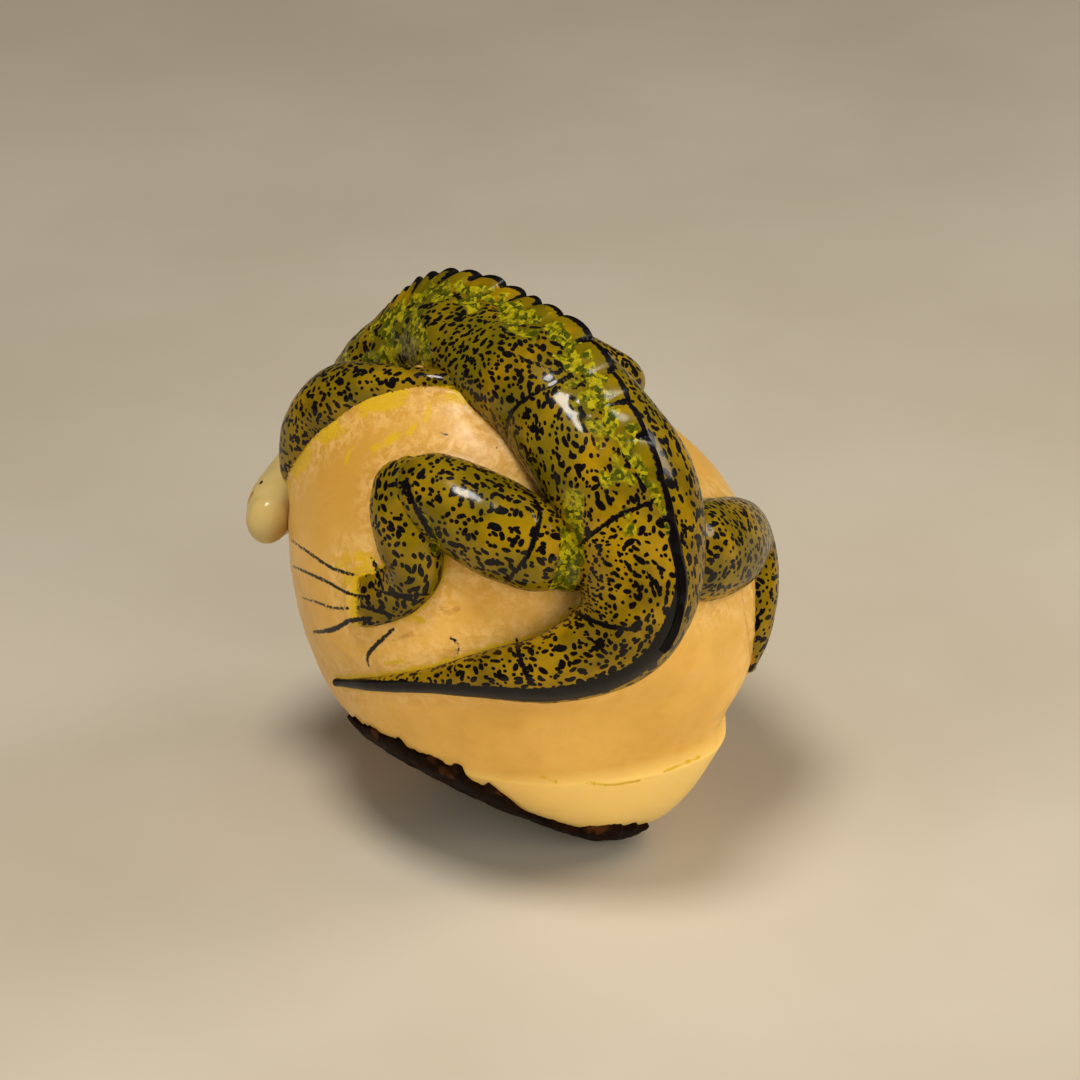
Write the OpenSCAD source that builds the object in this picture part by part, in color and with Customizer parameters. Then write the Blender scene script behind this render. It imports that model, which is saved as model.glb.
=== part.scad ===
// A lizard carved from a palm nut: hand-carved, inked and lacquered ornament.
// The nut's pale kernel is the rock that the lizard climbs. Some of its dark skin is left as the foot.
// Frame: origin at the middle of the flat foot, +Z up. The side with the bent hind leg and the tail faces
// -Y, and the lizard's head hangs down the -X side. Places on the nut are given as longitude (0 is +X, 90
// is +Y) and latitude (90 is the crown), so every carved form follows the nut when the nut changes.

/* [Nut] */
// Length of the egg-shaped kernel along its leaning axis, before it was flattened
nut_length = 52; // [48:0.5:56]
// Breadth of the kernel across its axis
nut_breadth = 41; // [38:0.5:44]
// Lean of the kernel's axis to the left of upright, in degrees
nut_lean = 25; // [15:1:32]
// Height of the kernel's middle above the table
middle_height = 22; // [21:0.25:23]
// How far the middle of the foot lies to the right of the kernel's middle
foot_offset = 3; // [1:0.25:5]
// Distance from the kernel's middle to the slanting flat at the lower left
flat_distance = 18.7; // [18:0.1:19.5]
// Distance from the kernel's middle to the crown under the lizard's belly
crown_distance = 16.5; // [15.5:0.25:17.5]
// Distance from the kernel's middle to the flat at the back, under the lizard's neck
nape_distance = 18.5; // [17:0.25:20]
// Distance from the kernel's middle to the flat at the lower right
side_distance = 19.4; // [18.8:0.1:20]
// Depth of the hollow carved under the tail
waist_depth = 1.4; // [0:0.1:2]
// Height of the lip that is left round the base
lip_height = 1.1; // [0:0.1:1.4]

/* [Skin] */
// Thickness of the dark skin left under the base
skin_thickness = 1.1; // [1:0.05:1.6]
// How far the skin climbs the slanting flat above its edge round the foot, in degrees
skin_climb = 33; // [25:1:38]
// How far the skin's ragged edge wanders up and down, in degrees
skin_ragged = 2.5; // [0:0.5:5]

/* [Lizard] */
// Thickness of the trunk at its fattest
trunk_thickness = 11.2; // [9.2:0.2:13.2]
// Thickness of the head at the jaws
head_thickness = 5.8; // [5:0.2:6.8]
// Thickness of the tail where it leaves the hips
tail_thickness = 10; // [8:0.25:11.5]
// Thickness of the thighs
thigh_thickness = 7.6; // [6:0.2:9]
// Thickness of the shins
shin_thickness = 5.2; // [4:0.2:6]
// Thickness of the near arm, on the lizard's left, at the elbow
left_arm_thickness = 5.4; // [4.4:0.2:6.2]
// Thickness of the far arm, on the lizard's right, at the elbow
right_arm_thickness = 4.4; // [3.6:0.2:5.2]
// Diameter of an eye
eye_diameter = 1.9; // [1.4:0.1:2.4]

/* [Crest] */
// Height of the crest along the back
crest_height = 1.4; // [0.8:0.1:2.2]
// Width of the crest at its root
crest_width = 3; // [2.4:0.1:3.4]
// Number of plates along the crest
crest_plates = 22; // [14:1:28]

/* [Hidden] */

// Clearance between a carved form and what it sits on
seat = 0.05;
nut_middle = [-foot_offset, 0, middle_height];
// Directions along the kernel's leaning axis and across it
nut_axis = [-sin(nut_lean), 0, cos(nut_lean)];
nut_across = [cos(nut_lean), 0, sin(nut_lean)];
// Height of the kernel's foot above the table, filled by skin
foot_skin = 0.5;
// Outward directions of the flats at the lower left, on the crown, under the neck and at the lower right
flat_facing = unit([-0.43, -0.37, -0.82]);
crown_facing = unit([0.50, 0.05, 0.86]);
nape_facing = unit([-0.35, 0.60, 0.72]);
side_facing = unit([0.80, 0.20, -0.45]);
// The flats with their distances from the kernel's middle, the one of the foot first
flats = [
    [[0, 0, -1], middle_height - foot_skin],
    [flat_facing, flat_distance],
    [crown_facing, crown_distance],
    [nape_facing, nape_distance],
    [side_facing, side_distance],
];
// A flat that faces away from a direction counts as being this oblique to it
least_facing = 0.01;
// How crisply the flats meet the round of the nut: a higher power is crisper
flat_crispness = 24;

// Latitudes where the hollow under the tail begins, is deepest, and where the lip ends it
waist_top = 2;
waist_deep = -12;
lip_top = -28;
lip_foot = -30.5;
// Longitudes at which the hollow and the lip are strongest, and how far they run to each side
waist_middle = -85;
waist_reach = 85;
lip_middle = -55;
lip_reach = 90;

// Rows of the kernel's grid, closer together at the lip
nut_rows = [each [-84:8:-44], -38, -33.5, lip_foot, lip_top, -25, -21, each [-16:6:80]];
nut_columns = 56;
skin_rows = 7;
skin_columns = 60;
// Latitude of the skin's edge round the foot
skin_foot_edge = -66;
// Where the skin climbs higher. Each row: degrees, middle longitude, how far to each side of it the skin
// keeps its height, and how far away it is down at the foot
skin_climbs = [
    [skin_climb, -130, 28, 50],
    [0.42 * skin_climb, -75, 20, 60],
];
// Waves of the skin's ragged edge: how many go round the nut, and their shift in degrees
skin_waves = [[5, 40], [11, 0], [17, 70]];
// Share of the skin's thickness that is lost at its edge
skin_taper = 0.6;

// A body is usually this much wider than it is thick
width_ratio = 1.08;

// The spine from snout to tail tip. Each row: longitude, latitude, thickness, share of the thickness that is
// sunk in the nut, roll of the back, and where it isn't the usual one, the width as a share of the thickness
head_rows = [
    [177, 13.5, 0.67 * head_thickness, -0.02, 8, 1.25],
    [172, 14, 0.85 * head_thickness, 0.14, 8, 1.25],
    [164, 15, 0.95 * head_thickness, 0.28, 8, 1.2],
    [156, 18, head_thickness, 0.36, 8, 1.2],
    [150, 24, 1.02 * head_thickness, 0.32, 6, 1.2],
    [148, 33, 1.10 * head_thickness, 0.18, 4, 1.13],
];
trunk_rows = [
    [150, 42, 0.66 * trunk_thickness, 0.13, 3, 1.05],
    [154, 51, 0.71 * trunk_thickness, 0.10, 3, 1.01],
    [156, 60, 0.73 * trunk_thickness, 0.10, 4, 0.98],
    [160, 69, 0.79 * trunk_thickness, 0.18, 8, 0.99],
    [174, 77, 0.95 * trunk_thickness, 0.31, 17, 1.11],
    [-113, 80, trunk_thickness, 0.23, 27, 1.16],
    [-75, 68.5, 1.02 * trunk_thickness, 0.10, 29, 1.14],
    [-66, 54.5, 1.03 * trunk_thickness, 0.15, 25, 1.14],
    [-62.5, 44, 1.02 * trunk_thickness, 0.20, 25, 1.14],
    [-62, 33, 0.98 * trunk_thickness, 0.22, 27, 1.12],
];
tail_rows = [
    [-64.5, 21.5, tail_thickness, 0.18, 31],
    [-71, 12.5, 0.84 * tail_thickness, 0.18, 37],
    [-84, 7, 0.62 * tail_thickness, 0.18, 43],
    [-99, 4.5, 0.42 * tail_thickness, 0.18, 46],
    [-114, 0.5, 0.22 * tail_thickness, 0.20, 46],
    [-130, -6, 0.13 * tail_thickness, 0.22, 46],
    [-149, -14, 0.07 * tail_thickness, 0.25, 46],
];
spine = placed(concat(head_rows, trunk_rows, tail_rows));
// Places along the spine, counted in rows
neck_at = last(head_rows);
hips_at = len(head_rows) + len(trunk_rows);
tip_at = last(spine);
eyes_at = 3.2;
crest_from = 7.6;
crest_to = 16.6;
// Angle of an eye down from the top of the head, and the rows and sides of its dome
eye_angle = 48;
eye_rows = [-70:28:70];
eye_sides = 10;
// Rings to a plate of the crest, half the width of its blunt edge, and the share of its root on the near side
crest_steps = 4;
crest_edge = 0.25;
crest_near = 0.73;
// How much longer the crest's plates grow toward the tail, and how far back on a plate its peak is
plate_growth = 2;
plate_lean = 1.35;
// The crest's notches reach down to this share of its height, and it is nowhere lower than this
notch_height = 0.65;
least_rise = 0.35;
// Shares of the crest's length: full height from the first to the second, tail height from the third
crest_full = [0.18, 0.6, 0.95];
// Height of the crest on the tail as a share of its full height
crest_tail_height = 0.35;

// The limbs, each from its root outwards. Each row is like a row of the spine
left_thigh_path = placed([
    [-80, 32, 0.75 * thigh_thickness, 0.20],
    [-88, 34.5, 0.95 * thigh_thickness, 0.24],
    [-97, 37.8, 1.04 * thigh_thickness, 0.28],
    [-107, 41, thigh_thickness, 0.30],
    [-112.5, 42.5, 0.94 * thigh_thickness, 0.31],
    [-115.5, 43, 0.75 * thigh_thickness, 0.30],
    [-117, 43.2, 0.45 * thigh_thickness, 0.27],
    [-117.4, 43.3, 0.16 * thigh_thickness, 0.22],
]);
left_shin_path = placed([
    [-128.2, 46.6, 0.45 * shin_thickness, 0.32],
    [-127.6, 45, 0.85 * shin_thickness, 0.34],
    [-126.4, 42.4, 1.02 * shin_thickness, 0.34, 0, 1.1],
    [-124, 38.5, 1.08 * shin_thickness, 0.34, 0, 1.15],
    [-121, 32.5, shin_thickness, 0.36, 0, 1.2],
    [-119.5, 27, 0.78 * shin_thickness, 0.40, 0, 1.3],
    [-122.5, 22.3, 0.55 * shin_thickness, 0.50, 0, 1.75],
    [-127.5, 19, 0.36 * shin_thickness, 0.55, 0, 2.7],
    [-133, 17.2, 0.26 * shin_thickness, 0.55, 0, 4.2],
    [-138.5, 16, 0.16 * shin_thickness, 0.50, 0, 6.2],
]);
right_leg_path = placed([
    [-46, 27.6, 0.94 * thigh_thickness, 0.43],
    [-42, 26.5, thigh_thickness, 0.45, 0, 1.12],
    [-33, 24, thigh_thickness, 0.50, 0, 1.18],
    [-24, 21.5, 0.96 * thigh_thickness, 0.54, 0, 1.18],
    [-14, 19, 0.90 * thigh_thickness, 0.60, 0, 1.15],
    [-5, 15.5, 0.80 * thigh_thickness, 0.64, 0, 1.1],
    [-2, 9.5, 1.02 * shin_thickness, 0.63, 0, 1.1],
    [-6, 3.5, 0.98 * shin_thickness, 0.65, 0, 1.1],
    [-11, -2.5, 0.85 * shin_thickness, 0.66, 0, 1.1],
    [-15, -8.5, 0.60 * shin_thickness, 0.64, 0, 1.1],
    [-18, -14, 0.30 * shin_thickness, 0.60, 0, 1.1],
]);
left_arm_path = placed([
    [-126, 68.5, 0.38 * left_arm_thickness, 0.34],
    [-140, 65.5, 0.40 * left_arm_thickness, 0.38],
    [-152, 61, 0.51 * left_arm_thickness, 0.40, 0, 1.1],
    [-163, 56, 0.74 * left_arm_thickness, 0.38, 0, 1.15],
    [-171, 50.5, 0.96 * left_arm_thickness, 0.34, 0, 1.28],
    [-176, 45, left_arm_thickness, 0.34, 0, 1.3],
    [-178, 39, 0.90 * left_arm_thickness, 0.36, 0, 1.3],
    [-179, 33.5, 0.70 * left_arm_thickness, 0.38, 0, 1.2],
    [-180, 28.5, 0.48 * left_arm_thickness, 0.38, 0, 1.1],
    [-182, 24.5, 0.22 * left_arm_thickness, 0.35],
]);
right_arm_path = placed([
    [118, 79, 0.75 * right_arm_thickness, 0.12],
    [95, 71, 0.92 * right_arm_thickness, 0.10],
    [77, 61, right_arm_thickness, 0.12],
    [66, 51, right_arm_thickness, 0.22],
    [59, 42.5, right_arm_thickness, 0.32],
    [60, 37, 0.92 * right_arm_thickness, 0.38],
    [66, 32, 0.75 * right_arm_thickness, 0.34],
    [73, 28.5, 0.55 * right_arm_thickness, 0.40],
    [78, 26.5, 0.30 * right_arm_thickness, 0.40],
]);
// Places of the joints along the limbs that are bent in one sweep, counted in rows
right_knee_at = 5;
left_elbow_at = 5;
right_elbow_at = 4;

// Turns, in degrees, at which rings are set round the blunt snout
snout_turns = [78, 54, 28];
// Rings to a row and sides to a ring
spine_steps = 4;
spine_sides = 18;
limb_steps = 4;
limb_sides = 12;
// A point counts as inside a body when it is no farther than this from the nearest section of it
section_reach = 1.5;
// Step along a path over which its direction is taken, in rows
path_step = 0.05;

// Vectors and places on the nut
function unit(v) = v / norm(v);
function direction(lon, lat) = [cos(lat) * cos(lon), cos(lat) * sin(lon), sin(lat)];
function ramp(x, from, to) = let (t = max(0, min(1, (x - from) / (to - from)))) t * t * (3 - 2 * t);
function point(row) = [row[0], row[1], row[2]];
function last(list) = len(list) - 1;
function total(list) = [for (x = list) 1] * list;

// How far apart two longitudes are
function turn(a, b) = let (far = abs(a - b) % 360) min(far, 360 - far);

// 1 at a longitude, falling to 0 at a reach to each side of it
function about(lon, middle, reach) = 1 - ramp(turn(lon, middle), 0, reach);

// How far the carver went in at a place: the hollow under the tail, ended by a crisp lip
function carved(lon, lat) =
    let (hollow = ramp(lat, waist_top, waist_deep) * (1 - ramp(lat, waist_deep, lip_foot)))
    let (groove = ramp(lat, waist_deep, lip_top) * (1 - ramp(lat, lip_top, lip_foot)))
    waist_depth * about(lon, waist_middle, waist_reach) * hollow
    + lip_height * about(lon, lip_middle, lip_reach) * groove;

// Radius of the kernel along a unit direction: a leaning egg with flats blended in, less what was carved
function nut_radius(d) =
    let (egg = 0.5 / norm([d * nut_axis / nut_length, d * nut_across / nut_breadth, d.y / nut_breadth]))
    let (cuts = [for (flat = flats) flat[1] / max(d * flat[0], least_facing)])
    let (sum = total([for (r = [egg, each cuts]) pow(r, -flat_crispness)]))
    pow(sum, -1 / flat_crispness) - carved(atan2(d.y, d.x), asin(d.z));

function on_nut(lon, lat, lift) =
    let (d = direction(lon, lat))
    nut_middle + d * (nut_radius(d) + lift);

// A point that would lie inside the kernel is moved out to its surface
function out_of_nut(p) =
    let (v = p - nut_middle)
    let (d = unit(v))
    nut_middle + d * max(norm(v), nut_radius(d) + seat);

// Rows on the nut become rows of x, y, z, half thickness, roll and width
function placed(rows) = [
    for (r = rows)
        let (roll = is_undef(r[4]) ? 0 : r[4], width = is_undef(r[5]) ? width_ratio : r[5])
        [each on_nut(r[0], r[1], r[2] * (0.5 - r[3])), r[2] / 2, roll, width]
];

// A smooth curve through the rows of a path, t counted in rows
function along(path, t) =
    let (i = min(floor(t), last(path) - 1))
    let (f = t - i)
    let (a = path[max(i - 1, 0)], b = path[i], c = path[i + 1], d = path[min(i + 2, last(path))])
    (2 * b + (c - a) * f + (2 * a - 5 * b + 4 * c - d) * f * f + (3 * b - a - 3 * c + d) * f * f * f) / 2;

// Section of a path: middle, side, up, half width, half thickness
function section(path, t) =
    let (row = along(path, t))
    let (after = along(path, min(t + path_step, last(path))), before = along(path, max(t - path_step, 0)))
    let (forward = unit(point(after) - point(before)))
    let (across = unit(cross(forward, point(row) - nut_middle)))
    let (out = cross(across, forward))
    [
        point(row),
        across * cos(row[4]) + out * sin(row[4]),
        out * cos(row[4]) - across * sin(row[4]),
        row[3] * row[5],
        row[3],
    ];

function sections(path, from, to, steps) =
    let (n = round((to - from) * steps))
    [for (k = [0:n]) section(path, from + (to - from) * k / n)];

// A ring of the round that closes a path before its first section
function end_ring(s, turn) = [
    s[0] - cross(s[2], s[1]) * s[4] * sin(turn), s[1], s[2], s[3] * cos(turn), s[4] * cos(turn)
];

// Point of a section at an angle from its side, swelled by a margin
function skin_point(s, angle, margin = 0) =
    s[0] + s[1] * (s[3] + margin) * cos(angle) + s[2] * (s[4] + margin) * sin(angle);

// A point that would lie inside the body swept through some sections is moved out to its surface
function out_of_body(p, body) =
    let (far = [for (s = body) norm(p - s[0])])
    let (least = min(far))
    let (s = [for (i = [0:last(body)]) if (far[i] == least) body[i]][0])
    let (x = (p - s[0]) * s[1], y = (p - s[0]) * s[2], z = (p - s[0]) * cross(s[1], s[2]))
    let (depth = norm([x / s[3], y / s[4]]))
    let (grow = 1 + seat / s[4])
    let (outside = depth > grow || depth == 0 || abs(z) > section_reach)
    outside ? p : p + (s[1] * x + s[2] * y) * (grow / depth - 1);

function out_of_all(p, bodies, i = 0) =
    i == len(bodies) ? out_of_nut(p) : out_of_all(out_of_body(p, bodies[i]), bodies, i + 1);

// A closed solid over rings of equal count, each end closed to the middle of its ring
module loft(rings) {
    m = len(rings[0]);
    n = len(rings);
    ends = [for (r = [rings[0], rings[n - 1]]) total(r) / m];
    sides = [
        for (k = [0:n - 2], i = [0:m - 1])
            let (a = k * m + i, b = k * m + (i + 1) % m)
            each [[a, b + m, b], [a, a + m, b + m]]
    ];
    start = [for (i = [0:m - 1]) [n * m, i, (i + 1) % m]];
    finish = [for (i = [0:m - 1]) [n * m + 1, (n - 1) * m + (i + 1) % m, (n - 1) * m + i]];
    polyhedron([each [for (r = rings) each r], each ends], concat(sides, start, finish), convexity = 8);
}

// A body swept through sections, kept out of the nut and of other bodies
module body(through, sides, others = []) {
    loft([
        for (s = through) [for (i = [0:sides - 1]) out_of_all(skin_point(s, -360 * i / sides), others)]
    ]);
}

snout = section(spine, 0);
head_sections = [
    each [for (turn = snout_turns) end_ring(snout, turn)],
    each sections(spine, 0, neck_at, spine_steps),
];
trunk_sections = sections(spine, neck_at, hips_at, spine_steps);
tail_sections = sections(spine, hips_at, tip_at, spine_steps);
left_shin_sections = sections(left_shin_path, 0, last(left_shin_path), limb_steps);
// The bodies that carry the hind legs and the arms
hips = [trunk_sections, tail_sections];
shoulders = [head_sections, trunk_sections];

// The kernel
module nut_body() {
    color("wheat") loft([
        for (lat = nut_rows) [for (i = [0:nut_columns - 1]) on_nut(360 * i / nut_columns, lat, 0)]
    ]);
}

// Latitude of the skin's ragged edge: level round the foot, and higher where it climbs
function skin_edge(lon) =
    let (climbs = [for (c = skin_climbs) c[0] * (1 - ramp(turn(lon, c[1]), c[2], c[3]))])
    let (waves = [for (w = skin_waves) sin(w[0] * lon + w[1])])
    skin_foot_edge + max(climbs) + skin_ragged * total(waves) / len(waves);

// Ring of the skin at a share of the way from under the foot to the ragged edge
function skin_ring(share, lift) = [
    for (i = [0:skin_columns - 1])
        let (lon = 360 * i / skin_columns)
        on_nut(lon, -90 + (skin_edge(lon) + 90) * share, lift)
];

// The dark skin under the base, thinning to its edge and rubbed flat at the foot
module nut_skin() {
    shares = [for (k = [1:skin_rows]) k / skin_rows];
    outside = [for (f = shares) skin_ring(f, skin_thickness * (1 - skin_taper * pow(f, 3)))];
    inside = [for (k = [skin_rows - 1:-1:0]) skin_ring(shares[k], seat)];
    color("saddlebrown") difference() {
        loft(concat(outside, inside));
        translate(-nut_length * [1, 1, 1]) cube(nut_length * [2, 2, 1]);
    }
}

// The lizard
module head() {
    color("olive") body(head_sections, spine_sides);
}

module trunk() {
    color("olivedrab") body(trunk_sections, spine_sides);
}

module tail() {
    color("olive") body(tail_sections, spine_sides);
}

// A pair of low domes on the head
module eyes() {
    s = section(spine, eyes_at);
    color("black") for (side = [-1, 1]) {
        middle = skin_point(s, 90 + side * eye_angle);
        loft([
            for (lat = eye_rows) [
                for (i = [0:eye_sides - 1])
                    let (ball = middle + direction(360 * i / eye_sides, lat) * eye_diameter / 2)
                    out_of_all(ball, [head_sections])
            ]
        ]);
    }
}

// Height of the crest at a share of its length: leaning plates that are low on the neck and on the tail
function crest_rise(part) =
    let (plate = crest_plates * ln(1 + plate_growth * part) / ln(1 + plate_growth))
    let (stands = sqrt(sin(180 * pow(plate - floor(plate), plate_lean))))
    let (back = crest_tail_height + (1 - crest_tail_height) * ramp(part, crest_full[2], crest_full[1]))
    let (rise = crest_height * ramp(part, 0, crest_full[0]) * back)
    max(least_rise, rise * (notch_height + (1 - notch_height) * stands));

// A ridge of plates along the back, steep and broad on the near side, that sits on the trunk and on the tail
module crest() {
    n = crest_plates * crest_steps;
    color("darkolivegreen") loft([
        for (k = [0:n])
            let (s = section(spine, crest_from + (crest_to - crest_from) * k / n))
            let (near = asin(crest_width * crest_near / s[3]))
            let (far = asin(crest_width * (1 - crest_near) / s[3]))
            let (top = skin_point(s, 90, crest_rise(k / n)))
            [
                skin_point(s, 90 + far, seat),
                top - s[1] * crest_edge,
                top + s[1] * crest_edge,
                skin_point(s, 90 - near, seat),
                skin_point(s, 90 - near / 2, seat),
                skin_point(s, 90, seat),
            ]
    ]);
}

// A limb between two places along its path, kept out of the bodies that carry it
module limb(path, from, to, others) {
    body(sections(path, from, to, limb_steps), limb_sides, others);
}

// The limbs
module left_thigh() {
    color("yellowgreen") limb(left_thigh_path, 0, last(left_thigh_path), [each hips, left_shin_sections]);
}

module left_shin() {
    color("olivedrab") body(left_shin_sections, limb_sides);
}

module right_thigh() {
    color("yellowgreen") limb(right_leg_path, 0, right_knee_at, hips);
}

module right_shin() {
    color("olivedrab") limb(right_leg_path, right_knee_at, last(right_leg_path), hips);
}

module left_upper_arm() {
    color("yellowgreen") limb(left_arm_path, 0, left_elbow_at, shoulders);
}

module left_forearm() {
    color("olivedrab") limb(left_arm_path, left_elbow_at, last(left_arm_path), shoulders);
}

module right_upper_arm() {
    color("yellowgreen") limb(right_arm_path, 0, right_elbow_at, shoulders);
}

module right_forearm() {
    color("olivedrab") limb(right_arm_path, right_elbow_at, last(right_arm_path), shoulders);
}

nut_body();
nut_skin();
head();
eyes();
trunk();
tail();
crest();
left_thigh();
left_shin();
right_thigh();
right_shin();
left_upper_arm();
left_forearm();
right_upper_arm();
right_forearm();
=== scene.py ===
"""Looks of a lizard carved from a palm nut: a pale kernel, a patch of dark seed skin under it, and a spotted
green lizard that lies curled over the top. Lengths are in millimetres, angles in degrees; the nut, the spine
and the limbs follow the same rows as the solids."""

import math
from collections import namedtuple

import bpy
import numpy as np
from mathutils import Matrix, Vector, noise
from mathutils.bvhtree import BVHTree


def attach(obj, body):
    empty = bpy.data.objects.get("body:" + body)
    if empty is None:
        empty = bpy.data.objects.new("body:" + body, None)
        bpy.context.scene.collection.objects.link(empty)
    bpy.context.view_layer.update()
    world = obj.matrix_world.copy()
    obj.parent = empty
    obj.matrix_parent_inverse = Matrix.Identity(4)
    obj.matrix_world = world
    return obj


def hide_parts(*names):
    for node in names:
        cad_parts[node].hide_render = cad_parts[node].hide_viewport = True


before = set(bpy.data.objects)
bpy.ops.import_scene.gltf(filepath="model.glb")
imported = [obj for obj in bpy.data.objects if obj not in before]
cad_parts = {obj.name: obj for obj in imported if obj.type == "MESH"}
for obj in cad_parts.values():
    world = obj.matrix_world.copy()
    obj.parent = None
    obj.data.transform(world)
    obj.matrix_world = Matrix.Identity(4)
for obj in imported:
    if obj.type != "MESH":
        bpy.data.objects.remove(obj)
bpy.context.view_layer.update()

MM = 0.001

# Camera: elevation, distance and what it looks at, and the length that a pixel of the photograph covers there
CAMERA_ELEVATION = 27
CAMERA_DISTANCE = 450
CAMERA_TARGET = np.array([-1.92, 0, 26.1])
PIXEL_SIZE = 0.0903
IMAGE_SIDE = 1080
SENSOR_WIDTH = 36

# Nut
NUT_LENGTH = 52
NUT_BREADTH = 41
NUT_LEAN = 25
MIDDLE_HEIGHT = 22
FOOT_OFFSET = 3
FOOT_SKIN = 0.5
FLAT_CRISPNESS = 24
WAIST_DEPTH, WAIST_TOP, WAIST_DEEP, WAIST_MIDDLE, WAIST_REACH = 1.4, 2, -12, -85, 85
LIP_HEIGHT, LIP_TOP, LIP_FOOT, LIP_MIDDLE, LIP_REACH = 1.1, -28, -30.5, -55, 90

# Seed skin: thickness, its share that is lost at the edge, and the latitude of its edge round the foot
SKIN_THICKNESS = 1.1
SKIN_TAPER = 0.6
SKIN_FOOT_EDGE = -66
SKIN_RAGGED = 2.5
# Where it climbs higher: degrees of climb, middle longitude, how far it keeps its height and where it ends
SKIN_CLIMBS = [(33, -130, 28, 50), (0.42 * 33, -75, 20, 60)]
# Flakes left above that edge on the side that is seen: longitude and degrees of climb
SKIN_FLAKES = [
    (-166, 0), (-152, 4), (-144, 7), (-134, 8), (-128, 6), (-127, 3), (-117, 5), (-109, 5.5), (-106.5, 2),
    (-103, 0.5), (-99.5, 2), (-97, 1.5), (-92, 4), (-84, 3), (-70, 2), (-50, 2.5), (-30, 0),
]
# How far its inner side lies in the nut, and how wide the rounding of its edge is as a share of its height
SKIN_BITE = 0.15
SKIN_ROUNDING = 0.05

# Lizard
WIDTH_RATIO = 1.08
HEAD = 5.8
TRUNK = 11.2
TAIL = 10
THIGH = 7.6
SHIN = 5.2
LEFT_ARM = 5.4
RIGHT_ARM = 4.4

# The spine from snout to tail tip: longitude, latitude, thickness, sunk share, roll, width share
SPINE_ROWS = [
    (177, 13.5, 0.67 * HEAD, -0.02, 8, 1.25),
    (172, 14, 0.85 * HEAD, 0.14, 8, 1.25),
    (164, 15, 0.95 * HEAD, 0.28, 8, 1.2),
    (156, 18, HEAD, 0.36, 8, 1.2),
    (150, 24, 1.02 * HEAD, 0.32, 6, 1.2),
    (148, 33, 1.10 * HEAD, 0.18, 4, 1.13),
    (150, 42, 0.66 * TRUNK, 0.13, 3, 1.05),
    (154, 51, 0.71 * TRUNK, 0.10, 3, 1.01),
    (156, 60, 0.73 * TRUNK, 0.10, 4, 0.98),
    (160, 69, 0.79 * TRUNK, 0.18, 8, 0.99),
    (174, 77, 0.95 * TRUNK, 0.31, 17, 1.11),
    (-113, 80, TRUNK, 0.23, 27, 1.16),
    (-75, 68.5, 1.02 * TRUNK, 0.10, 26, 1.14),
    (-66, 54.5, 1.03 * TRUNK, 0.15, 15, 1.16),
    (-62.5, 44, 1.02 * TRUNK, 0.20, 7, 1.18),
    (-62, 33, 0.98 * TRUNK, 0.22, 9, 1.15),
    (-64.5, 21.5, TAIL, 0.18, 24),
    (-71, 13.2, 0.84 * TAIL, 0.18, 37),
    (-84, 7.8, 0.62 * TAIL, 0.18, 43),
    (-99, 5.2, 0.42 * TAIL, 0.18, 46),
    (-114, 0.5, 0.22 * TAIL, 0.20, 46),
    (-130, -6, 0.13 * TAIL, 0.22, 46),
    (-149, -14, 0.07 * TAIL, 0.25, 46),
]
TIP_AT = len(SPINE_ROWS) - 1

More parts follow.
